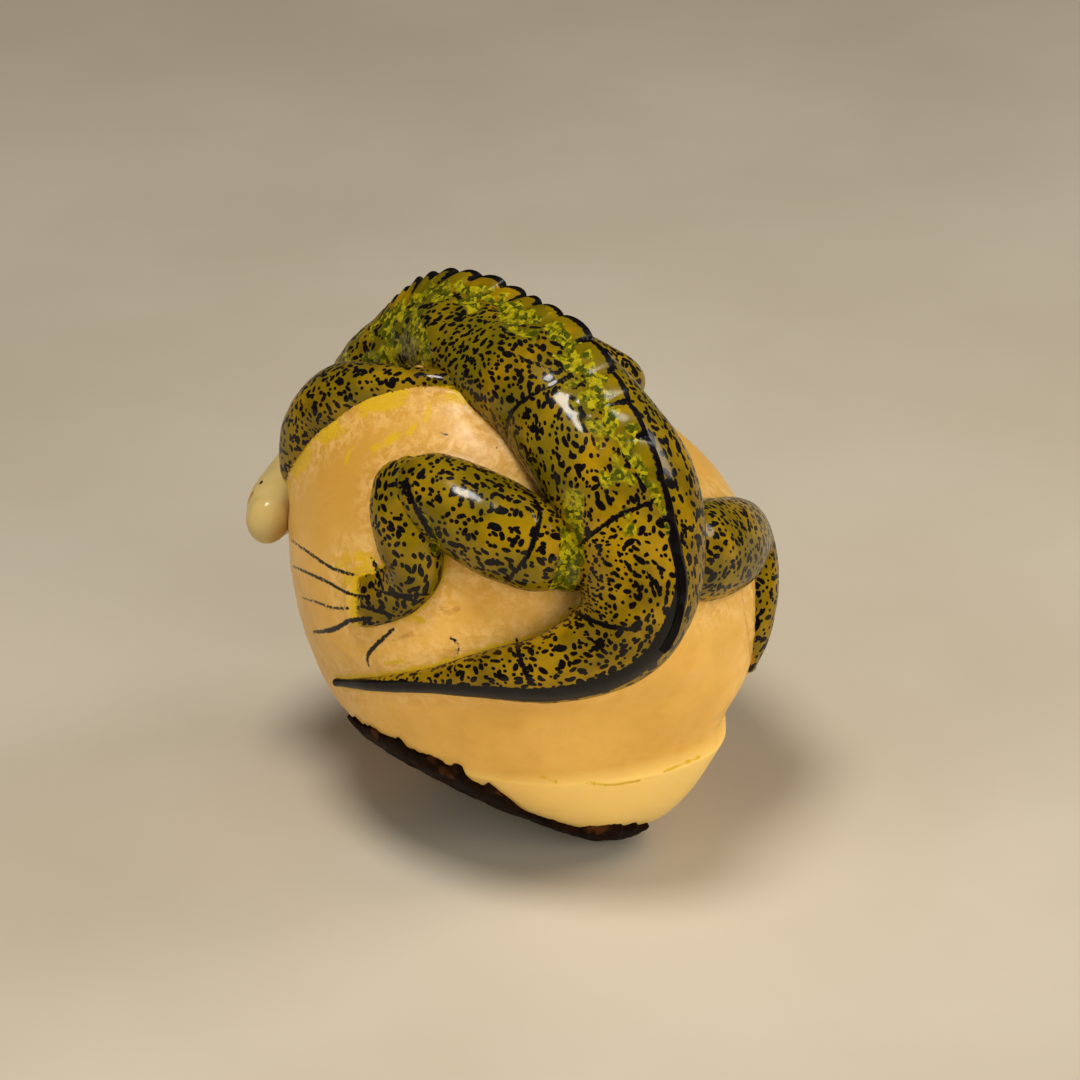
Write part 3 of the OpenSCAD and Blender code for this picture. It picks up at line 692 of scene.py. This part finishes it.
# Materials
class Surface:
    """A material under construction, with short forms for its nodes."""

    def __init__(self, name):
        self.material = bpy.data.materials.new(name)
        self.material.use_nodes = True
        self.tree = self.material.node_tree
        self.tree.nodes.clear()
        output = self.tree.nodes.new("ShaderNodeOutputMaterial")
        self.shader = self.tree.nodes.new("ShaderNodeBsdfPrincipled")
        self.tree.links.new(self.shader.outputs[0], output.inputs[0])
        place = self.tree.nodes.new("ShaderNodeTexCoord").outputs["Object"]
        self.place = self.vector("SCALE", place, scale=1 / MM)

    def put(self, socket, value):
        if isinstance(value, bpy.types.NodeSocket):
            self.tree.links.new(value, socket)
        else:
            socket.default_value = value

    def add(self, kind, settings=(), **inputs):
        node = self.tree.nodes.new(kind)
        for key, value in dict(settings).items():
            setattr(node, key, value)
        for key, value in inputs.items():
            self.put(node.inputs[key.replace("_", " ")], value)
        return node

    def set(self, **inputs):
        for key, value in inputs.items():
            self.put(self.shader.inputs[key.replace("_", " ")], value)

    def vector(self, operation, a, b=None, scale=None):
        node = self.add("ShaderNodeVectorMath", {"operation": operation})
        self.put(node.inputs[0], a)
        if b is not None:
            self.put(node.inputs[1], b)
        if scale is not None:
            self.put(node.inputs["Scale"], scale)
        return node.outputs["Value" if operation in ("LENGTH", "DOT_PRODUCT", "DISTANCE") else "Vector"]

    def math(self, operation, a, b=None, clamp=False):
        node = self.add("ShaderNodeMath", {"operation": operation, "use_clamp": clamp})
        self.put(node.inputs[0], a)
        if b is not None:
            self.put(node.inputs[1], b)
        return node.outputs[0]

    def between(self, x, start, end, low=0.0, high=1.0):
        """Eases from low to high as x goes from start to end."""
        node = self.add("ShaderNodeMapRange", {"interpolation_type": "SMOOTHSTEP"})
        for socket, value in zip(node.inputs, (x, start, end, low, high)):
            self.put(socket, value)
        return node.outputs[0]

    def mix(self, share, a, b):
        node = self.add("ShaderNodeMix", {"data_type": "RGBA"})
        self.put(node.inputs["Factor"], share)
        self.put(node.inputs[6], a)
        self.put(node.inputs[7], b)
        return node.outputs[2]

    def noise(self, size, detail=2.0, rough=0.5, place=None, warp=0.0):
        kind = {"Detail": detail, "Roughness": rough, "Distortion": warp}
        return self.add("ShaderNodeTexNoise", Vector=place or self.place, Scale=1 / size, **kind)

    def attribute(self, name, output="Fac"):
        return self.add("ShaderNodeAttribute", {"attribute_name": name}).outputs[output]

    def bump(self, height, depth, below=None):
        """Relief of that depth in millimetres from a height of 0 to 1."""
        node = self.add("ShaderNodeBump", Strength=1.0, Distance=depth * MM, Height=height)
        if below is not None:
            self.put(node.inputs["Normal"], below)
        return node.outputs[0]


def rgb(r, g, b):
    return (r, g, b, 1.0)


INK = rgb(0.003, 0.002, 0.002)
DYE = rgb(0.66, 0.40, 0.006)
KERNEL = rgb(0.74, 0.42, 0.09)
RUST = rgb(0.40, 0.14, 0.010)
OLIVE_DEEP = rgb(0.15, 0.088, 0.001)
OLIVE_LIGHT = rgb(0.31, 0.174, 0.001)
OLIVE_GREEN = rgb(0.10, 0.088, 0.001)
GOUGE_DEEP = rgb(0.045, 0.055, 0.001)
GOUGE_LIGHT = rgb(0.38, 0.31, 0.004)
# How much lacquer lies on the lizard's skin and on the crest
SKIN_LACQUER, CREST_LACQUER = 0.45, 0.18
# Pen dots, dashes and blots: cell that holds one, least and largest radius, stretch, field of their own
PEN_MARKS = [
    (0.66, 0.14, 0.21, 0.0, (0, 0, 0)),
    (0.9, 0.18, 0.23, 0.45, (31.7, 12.3, 0)),
    (2.2, 0.22, 0.34, 0.4, (77.1, 41.9, 0)),
]
# What each point of the lizard and of the nut carries for its material
LIZARD_MARKS = ("ink", "gouge", "pale", "bare", "fade", "stain", "green")
# Of the nut's marks, high carries painted shade on its top and low a painted glow below the lip
NUT_MARKS = ("ink", "near", "dye", "high", "low", "stain")


def pen_dots(s, place, cell, small, large, stretch, shift):
    """Pen dots and dashes, one to a cell of unrolled skin: 1 on the ink and 0 off it."""
    moved = s.vector("ADD", place, shift)
    flat = {"voronoi_dimensions": "2D"}
    cells = s.add("ShaderNodeTexVoronoi", flat, Vector=moved, Scale=1 / cell, Randomness=1.0)
    arm = s.vector("MULTIPLY", s.vector("SUBTRACT", moved, cells.outputs["Position"]), (1, 1, 0))
    parts = s.add("ShaderNodeSeparateColor", Color=cells.outputs["Color"])
    turn = s.math("MULTIPLY", parts.outputs[0], math.tau)
    lean = s.add("ShaderNodeCombineXYZ", X=s.math("COSINE", turn), Y=s.math("SINE", turn)).outputs[0]
    length = s.vector("DOT_PRODUCT", arm, lean)
    squeezed = s.vector("SUBTRACT", arm, s.vector("SCALE", lean, scale=s.math("MULTIPLY", length, stretch)))
    radius = s.between(parts.outputs[2], 0.15, 0.3, -0.1, small)
    radius = s.math("ADD", radius, s.between(parts.outputs[2], 0.3, 1, 0, large - small))
    return s.between(s.math("SUBTRACT", s.vector("LENGTH", squeezed), radius), 0.025, -0.025)


def lizard_material(name, coat):
    """Olive dye on carved nut, black pen dots, green gouged patches, and clear lacquer over it all."""
    s = Surface(name)
    edge, gouge, pale, bare, fade, stain, green = (s.attribute(key) for key in LIZARD_MARKS)
    skin = s.attribute("unrolled", "Vector")
    wobble = s.vector("SUBTRACT", s.noise(0.5, 2.0).outputs["Color"], (0.5, 0.5, 0.5))
    wobbled = s.vector("ADD", skin, s.vector("SCALE", wobble, scale=0.11))
    dots, dashes, blots = (pen_dots(s, wobbled, *mark) for mark in PEN_MARKS)
    spots = s.math("MAXIMUM", s.math("MAXIMUM", dots, dashes), blots)
    clean = s.math("MAXIMUM", bare, s.between(pale, 0.2, 0.5))
    clean = s.math("MAXIMUM", s.between(gouge, 0.2, 0.45), clean)
    spots = s.math("MULTIPLY", spots, s.math("SUBTRACT", 1.0, clean, clamp=True))
    fray = s.math("MULTIPLY", s.math("SUBTRACT", s.noise(0.35, 2.0).outputs[0], 0.5), 0.35)
    strokes = s.between(s.math("ADD", edge, fray), 0.05, -0.05)

    broad = s.noise(4.0, 3.0).outputs[0]
    olive = s.mix(s.between(broad, 0.35, 0.65), OLIVE_DEEP, OLIVE_LIGHT)
    cloud = s.between(s.noise(5.0, 3.0).outputs[0], 0.3, 0.6)
    olive = s.mix(s.math("MULTIPLY", green, cloud), olive, OLIVE_GREEN)
    bent = s.vector("ADD", s.place, s.vector("SCALE", wobble, scale=0.5))
    chips = s.add("ShaderNodeTexVoronoi", Vector=bent, Scale=1 / 0.42).outputs["Color"]
    chips = s.math("MULTIPLY", s.add("ShaderNodeSeparateColor", Color=chips).outputs[0], 0.45)
    shreds = s.math("ADD", s.math("MULTIPLY", s.noise(0.4, 4.0, 0.65).outputs[0], 0.7), chips)
    torn = s.mix(s.between(shreds, 0.42, 0.78), GOUGE_DEEP, GOUGE_LIGHT)
    dyed = s.mix(s.between(gouge, 0.15, 0.6), olive, torn)
    cream = s.mix(s.noise(2.0, 3.0).outputs[0], rgb(0.50, 0.34, 0.10), rgb(0.62, 0.48, 0.19))
    dyed = s.mix(pale, dyed, cream)
    streaks = s.math("MULTIPLY", s.math("SUBTRACT", s.noise(0.7, 4.0, 0.6, warp=0.8).outputs[0], 0.5), 0.9)
    thin = s.math("ADD", fade, streaks)
    dyed = s.mix(s.between(thin, 0.3, 0.7), dyed, DYE)
    dyed = s.mix(s.between(thin, 0.8, 1.15), dyed, KERNEL)
    dyed = s.mix(s.between(s.math("ADD", stain, streaks), 0.35, 0.8, 0.0, 0.85), dyed, RUST)
    spotted = s.math("MULTIPLY", spots, s.between(thin, 0.5, 0.3))
    ink = s.math("MAXIMUM", spotted, strokes)
    s.set(Base_Color=s.mix(ink, dyed, INK))
    s.set(Roughness=s.between(s.math("ADD", ink, s.noise(0.9, 3.0).outputs[0]), 0.3, 1.7, 0.32, 0.5))
    s.set(Coat_Weight=coat, Coat_Roughness=0.14, Specular_IOR_Level=0.04)
    peel = s.bump(s.noise(0.8, 3.0).outputs[0], 0.05)
    rough = s.bump(s.math("MULTIPLY", shreds, gouge), 0.3, peel)
    s.set(Normal=s.bump(ink, 0.012, rough))
    return s.material


def ivory_material():
    """Warm translucent nut kernel, polished, with fine scratches, smears of dye, painted brown shade in the
    creases, painted shade on its top and a painted glow below the lip.
    """
    s = Surface("ivory")
    edge, near, dye, high, low, stain = (s.attribute(key) for key in NUT_MARKS)
    broad = s.noise(9.0, 3.0).outputs[0]
    fine = s.noise(1.6, 4.0).outputs[0]
    kernel = s.mix(s.between(broad, 0.3, 0.7), rgb(0.68, 0.375, 0.066), rgb(0.78, 0.445, 0.092))
    kernel = s.mix(s.between(fine, 0.45, 0.75, 0.0, 0.3), kernel, rgb(0.60, 0.30, 0.045))
    # Painted shade: the kernel is darkened towards its top, where the lamp above lights it most
    kernel = s.mix(high, kernel, rgb(0.54, 0.27, 0.036))
    # Painted light: below the lip the kernel is brightened to a yellow glow, as if lit from below
    kernel = s.mix(low, kernel, rgb(0.92, 0.62, 0.17))
    fibres = s.noise(0.9, 5.0, 0.65, warp=0.5).outputs[0]
    fresh = s.math("MULTIPLY", s.between(near, 4.0, 1.0), s.between(fibres, 0.4, 0.65, 0.0, 0.6))
    kernel = s.mix(fresh, kernel, rgb(0.86, 0.56, 0.20))
    fray = s.math("MULTIPLY", s.math("SUBTRACT", s.noise(0.8, 3.0).outputs[0], 0.5), 1.2)
    # Painted shade: the kernel turns brown in the crease where it meets the carved lizard
    painted_crease_shade = s.between(s.math("ADD", near, fray), 0.6, -0.1, 0.0, 0.45)
    kernel = s.mix(painted_crease_shade, kernel, rgb(0.36, 0.16, 0.02))
    streaks = s.math("MULTIPLY", s.math("SUBTRACT", s.noise(0.7, 4.0, 0.6, warp=0.8).outputs[0], 0.5), 1.6)
    dyed = s.between(s.math("ADD", dye, streaks), 0.45, 0.85, 0.0, 0.9)
    kernel = s.mix(dyed, kernel, DYE)
    kernel = s.mix(s.between(s.math("ADD", stain, streaks), 0.55, 1.2, 0.0, 0.45), kernel, RUST)
    thin = s.math("MULTIPLY", s.math("SUBTRACT", s.noise(0.3, 2.0).outputs[0], 0.5), 0.3)
    strokes = s.between(s.math("ADD", edge, thin), 0.05, -0.05)
    s.set(Base_Color=s.mix(strokes, kernel, INK))
    s.set(Roughness=s.between(fine, 0.3, 0.7, 0.3, 0.45))
    s.set(Subsurface_Weight=0.3, Subsurface_Radius=(1.6, 0.8, 0.3), Subsurface_Scale=MM)
    s.set(Coat_Weight=0.25, Coat_Roughness=0.3, Specular_IOR_Level=0.2)
    grain = s.vector("MULTIPLY", s.place, (0.3, 0.3, 1.0))
    scrapes = s.bump(s.noise(0.35, 4.0, 0.6, place=grain).outputs[0], 0.025)
    hewn = s.math("MULTIPLY", s.noise(0.8, 5.0, 0.65, warp=0.5).outputs[0], s.between(near, 3.5, 0.5))
    s.set(Normal=s.bump(s.noise(1.2, 5.0, 0.6).outputs[0], 0.05, s.bump(hewn, 0.16, scrapes)))
    return s.material


def seed_skin_material():
    """Dark brown husk, scaly and dull, rubbed to a reddish brown in patches."""
    s = Surface("seed_skin")
    flakes = s.noise(1.2, 5.0, 0.65, warp=0.6).outputs[0]
    husk = s.mix(s.between(flakes, 0.35, 0.7), rgb(0.004, 0.002, 0.001), rgb(0.018, 0.006, 0.002))
    husk = s.mix(s.between(s.noise(2.6, 3.0).outputs[0], 0.58, 0.72), husk, rgb(0.07, 0.022, 0.006))
    s.set(Base_Color=husk)
    s.set(Roughness=s.between(flakes, 0.3, 0.7, 0.45, 0.8), Specular_IOR_Level=0.05)
    s.set(Normal=s.bump(flakes, 0.25))
    return s.material


def eye_material():
    """Black lacquer with a faint brown ring."""
    s = Surface("eye")
    cloud = s.noise(0.6, 2.0).outputs[0]
    s.set(Base_Color=s.mix(s.between(cloud, 0.4, 0.7), rgb(0.004, 0.003, 0.003), rgb(0.03, 0.015, 0.004)))
    s.set(Roughness=s.between(cloud, 0.3, 0.7, 0.08, 0.2), Coat_Weight=1.0, Coat_Roughness=0.05)
    return s.material


def floor_material():
    """A pale matt board."""
    s = Surface("floor")
    cloud = s.noise(60, 4.0).outputs[0]
    s.set(Base_Color=s.mix(s.between(cloud, 0.3, 0.7), rgb(0.50, 0.43, 0.32), rgb(0.56, 0.49, 0.38)))
    s.set(Roughness=0.85, Specular_IOR_Level=0.2)
    return s.material


# Pieces
def make_piece(name, form, material, slot, nodes, **marks):
    """A mesh that rides the one body and stands for CAD nodes, with marks at its points for the material."""
    mesh = bpy.data.meshes.new(name)
    mesh.from_pydata((form.points * MM).tolist(), [], form.faces)
    mesh.polygons.foreach_set("use_smooth", np.ones(len(mesh.polygons), bool))
    for key, values in marks.items():
        kind, channel = ("FLOAT", "value") if values.ndim == 1 else ("FLOAT_VECTOR", "vector")
        mesh.attributes.new(key, kind, "POINT").data.foreach_set(channel, values.astype(np.float32).ravel())
    mesh.materials.append(material)
    piece = bpy.data.objects.new(name, mesh)
    bpy.context.scene.collection.objects.link(piece)
    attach(piece, "root")
    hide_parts(*nodes)


def make_lizard_piece(name, form, material, nodes, slot="lizard_skin", **marks):
    """A piece of the lizard; a mark that isn't given is 0 all over it."""
    unmarked = {key: np.zeros(len(form.points)) for key in LIZARD_MARKS}
    make_piece(name, form, material, slot, nodes, **(unmarked | marks))


# The forms, and the lines that were drawn and cut on them
nut = nut_form()
body, body_skin, body_place = sleeve(spine, BODY_STEP, BODY_SIDES)
limb_sleeves = {name: sleeve(path, LIMB_STEP, LIMB_SIDES) for name, path in limbs.items()}
limb_forms = {name: made[0] for name, made in limb_sleeves.items()}
crest, crest_ink, crest_share = crest_form()
everything = tree_of([nut, body, crest, *limb_forms.values()])
tables = (INK_STROKES, GOUGES, SMEARS, STAINS)
strokes, gouges, smears, stains = (all_laid(everything, table) for table in tables)
for foot, (parting, tips) in HIDDEN_CLAWS.items():
    for k, tip in enumerate(tips):
        line = on_nut(*np.linspace(parting, tip, CLAW_POINTS).T, np.zeros(CLAW_POINTS))
        strokes[f"{foot}_{k}"] = (CLAW_WIDTH, line[:-1], line[1:], np.linspace(0, 1, CLAW_POINTS - 1))
# Distance to the ink's edge where there is none near
NO_INK = 9.0


def ink_edge(points):
    """Distance to the edge of the nearest ink stroke, below 0 on the ink; strokes thin out at their ends."""
    edge = np.full(len(points), NO_INK)
    for width, starts, ends, part in strokes.values():
        far, which = distance_to_lines(points, starts, ends)
        half = width / 2 * (0.35 + 0.65 * np.sin(np.pi * np.clip(part[which] * 0.96 + 0.02, 0, 1)) ** 0.5)
        edge = np.minimum(edge, far - half)
    return edge


def cut(points):
    """How deep the cut strokes go at points."""
    depth = np.zeros(len(points))
    for name, (deep, wide) in CUT_STROKES.items():
        _, starts, ends, _ = strokes[name]
        far, _ = distance_to_lines(points, starts, ends)
        depth = np.maximum(depth, deep * np.exp(-((far / wide) ** 2) * 2))
    return depth


def touched(points, lines):
    """1 in the middle of broad strokes, falling to 0 at their edges."""
    share = np.zeros(len(points))
    for width, starts, ends, _ in lines.values():
        far, _ = distance_to_lines(points, starts, ends)
        share = np.maximum(share, 1 - ramp(far, 0.2 * width, 0.6 * width))
    return share


def carved_by_hand(form, gouge):
    """A form with slight unevenness, its cut strokes and rough gouges."""
    rise = relief(form.points, UNEVEN) - cut(form.points)
    rise = rise + gouge * (relief(form.points, TORN) - GOUGE_DEPTH)
    return Form(form.points + normals(form) * rise[:, None], form.faces)


def skin_place(skin, turn):
    """Unrolled coordinates as vectors, each piece in a field of its own."""
    return np.column_stack([skin[:, 0] + 60 * turn, skin[:, 1], np.zeros(len(skin))])


def make_body(material):
    """Head, trunk and tail: an inked keel widened with painted shadow under the tail, gouges along the root
    of the crest, a rough neck, a pale snout.
    """
    points, place, around = body.points, body_place, body_skin[:, 1]
    # The keel is black ink, widened on the tail with painted shadow
    keel_ink_and_shadow_half = sum(gain * ramp(place, start, end) for start, end, gain in KEEL_INK_AND_SHADOW_WIDENS)
    off_keel = np.abs(around + KEEL_SHIFT * ramp(place, *KEEL_MOVES))
    keel = np.where(place > KEEL_INK_AND_SHADOW_WIDENS[0][0], off_keel - keel_ink_and_shadow_half, NO_INK)
    patches = np.clip(0.45 + 1.7 * lumps(points, 1.3, 8), 0, 1)
    past_crest = -around - CREST_NEAR + 1.1 * lumps(points, 2.6, 13)
    root = ramp(past_crest, -0.9, -0.2) * (1 - ramp(past_crest, 0.5, 1.9)) * patches
    root = root * ramp(place, CREST_FROM, CREST_FROM + 1) * (1 - ramp(place, *CREST_ROOT_ENDS))
    neck = 0.8 * ramp(place, *NECK_STARTS) * (1 - ramp(place, *NECK_ENDS)) * patches
    drawn = touched(points, gouges) * (0.4 + 0.6 * patches)
    gouge = np.maximum(np.maximum(root, neck), drawn)
    green = 1 - sum(loss * ramp(place, start, end) for start, end, loss in GREEN_LOST)
    make_lizard_piece(
        "lizard_body", carved_by_hand(body, gouge), material, ["head", "trunk", "tail"],
        ink=np.minimum(ink_edge(points), keel), gouge=gouge, pale=1 - ramp(place, *SNOUT_ENDS),
        bare=ramp(place, *TIP_STARTS), stain=touched(points, stains), green=green,
        unrolled=skin_place(body_skin, 0),
    )


def make_limbs(material):
    """The legs, whose dye runs out towards the nut. The gouge in the armpit stays off the arm."""
    drawn = {name: line for name, line in gouges.items() if name != "armpit"}
    for turn, (name, (limb, skin, place)) in enumerate(limb_sleeves.items()):
        points = limb.points
        fade = 1 - ramp(height_over_nut(points), 0, DYE_ENDS.get(name, DYE_ENDS_ELSEWHERE))
        if name == "left_shin":
            fade = np.maximum(fade, ramp(place, *FOOT_FADES))
        gouge = touched(points, drawn)
        make_lizard_piece(
            f"lizard_{name}", carved_by_hand(limb, gouge), material, LIMB_NODES.get(name, [name]),
            ink=ink_edge(points), gouge=gouge, fade=fade, stain=touched(points, stains),
            green=np.full(len(points), LIMB_GREEN), unrolled=skin_place(skin, turn + 2),
        )


def make_crest():
    """The crest: without pen dots, clean at its inked edge, gouged in patches that widen towards its root."""
    points = crest.points
    rough = crest_share + 0.55 * lumps(points, 1.0, 14)
    make_lizard_piece(
        "lizard_crest", crest, lizard_material("crest", CREST_LACQUER), ["crest"], "crest",
        ink=np.minimum(crest_ink, ink_edge(points)), gouge=0.9 * ramp(rough, 0.4, 0.75),
        bare=np.ones(len(points)), green=np.full(len(points), CREST_GREEN),
        unrolled=np.zeros((len(points), 3)),
    )


def before_left_arm(points):
    """1 on the side of the near arm that faces the viewer, 0 behind it."""
    path = limbs["left_arm"]
    arm = sections(path, np.linspace(0, len(path) - 1, 60))
    nearest = np.linalg.norm(points[:, None] - arm.middle, axis=2).argmin(1)
    return ramp(-np.sum((points - arm.middle[nearest]) * arm.side[nearest], 1), 0, 1.5)


def make_nut():
    """The kernel: it swells to meet what was carved on it, was scraped with a blade and took up some dye."""
    points = nut.points
    outward = unit(points - NUT_MIDDLE)
    lat = np.degrees(np.arcsin(outward[:, 2]))
    lon = np.degrees(np.arctan2(outward[:, 1], outward[:, 0]))
    tail = sleeve(spine[-6:], BODY_STEP, TAIL_SIDES)[0]
    carving = [body, *limb_forms.values()]
    neighbours = (carving, [limb_forms["left_arm"]], [limb_forms["left_shin"]], [tail])
    near, arm_near, foot_near, tail_near = (distance_to(tree_of(forms), points, 6.0) for forms in neighbours)
    before_arm = before_left_arm(points)
    swell = WELD_HEIGHT * np.maximum(0, 1 - near / WELD_REACH) ** 2
    swell = swell + FILLET_HEIGHT * before_arm * np.maximum(0, 1 - arm_near / FILLET_REACH) ** 2
    strips = relief(points * np.array([0.35, 0.35, 1.0]), BLADE_STRIPS)
    strips = strips * (1 - ramp(lat, -4, 6)) * ramp(lat, LIP_FOOT - 4, LIP_TOP)
    scraped = np.abs(relief(points, BLADE_FACETS)) + strips
    worked = Form(points + outward * (swell - scraped)[:, None], nut.faces)
    patches = np.clip(0.9 + 0.9 * lumps(points, 2.2, 12), 0, 1.2)
    arm_dye = before_arm * (1 - ramp(arm_near, 0.3, FILLET_REACH)) * patches
    fringe = np.maximum(0.8 - ramp(foot_near, 0, 1.0), 1.0 - ramp(tail_near, 0, 1.0))
    dye = np.maximum(0.8 * touched(points, smears), np.maximum(arm_dye, fringe))
    make_piece(
        "ivory_nut", worked, ivory_material(), "ivory", ["nut_body"],
        # high is painted shade on the top of the kernel
        ink=ink_edge(points), near=near, dye=dye, high=0.65 * ramp(lat, 12, 42),
        # low is a painted glow of light below the lip
        low=ramp(lat, LIP_TOP, LIP_FOOT) * about(lon, LIP_MIDDLE, LIP_REACH),
        stain=touched(points, stains),
    )


# Building
make_camera()
skin_of_lizard = lizard_material("lizard_skin", SKIN_LACQUER)
make_body(skin_of_lizard)
make_limbs(skin_of_lizard)
make_crest()
make_nut()
make_piece("seed_skin", skin_form(), seed_skin_material(), "seed_skin", ["nut_skin"])
eye_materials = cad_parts["eyes"].data.materials
eye_materials.clear()
eye_materials.append(eye_material())

# Stage: place, width, power, colour of each lamp, and whether the lacquer mirrors it
FLOOR_REACH = 3.0
LAMPS = {
    "key": ((-70, -110, 430), 130, 1.3, (1.0, 0.97, 0.92), True),
    "left_fill": ((-330, -260, 160), 420, 0.65, (1.0, 0.96, 0.90), False),
    "right_fill": ((260, -300, 110), 420, 1.5, (1.0, 0.96, 0.90), False),
    "rim": ((260, 40, 240), 160, 0.4, (1.0, 0.97, 0.93), True),
}
SKY_COLOUR = rgb(1.0, 0.98, 0.95)
SKY_STRENGTH = 0.05


def make_floor():
    mesh = bpy.data.meshes.new("floor")
    corners = [(x * FLOOR_REACH, y * FLOOR_REACH, 0) for x, y in ((-1, -1), (1, -1), (1, 1), (-1, 1))]
    mesh.from_pydata(corners, [], [(0, 1, 2, 3)])
    mesh.materials.append(floor_material())
    floor = bpy.data.objects.new("floor", mesh)
    bpy.context.scene.collection.objects.link(floor)


def make_lamp(name, place, width, power, colour, mirrored):
    data = bpy.data.lights.new(name, "AREA")
    data.shape = "DISK"
    data.size = width * MM
    data.energy = power
    data.color = colour
    lamp = bpy.data.objects.new(name, data)
    lamp.location = Vector(place) * MM
    aim = Vector(CAMERA_TARGET) * MM - lamp.location
    lamp.rotation_euler = aim.to_track_quat("-Z", "Y").to_euler()
    lamp.visible_glossy = mirrored
    bpy.context.scene.collection.objects.link(lamp)


def make_sky():
    world = bpy.data.worlds.new("studio")
    world.use_nodes = True
    background = world.node_tree.nodes["Background"]
    background.inputs["Color"].default_value = SKY_COLOUR
    background.inputs["Strength"].default_value = SKY_STRENGTH
    bpy.context.scene.world = world


make_floor()
for lamp_name, lamp_values in LAMPS.items():
    make_lamp(lamp_name, *lamp_values)
make_sky()
bpy.context.scene.view_settings.view_transform = "Standard"
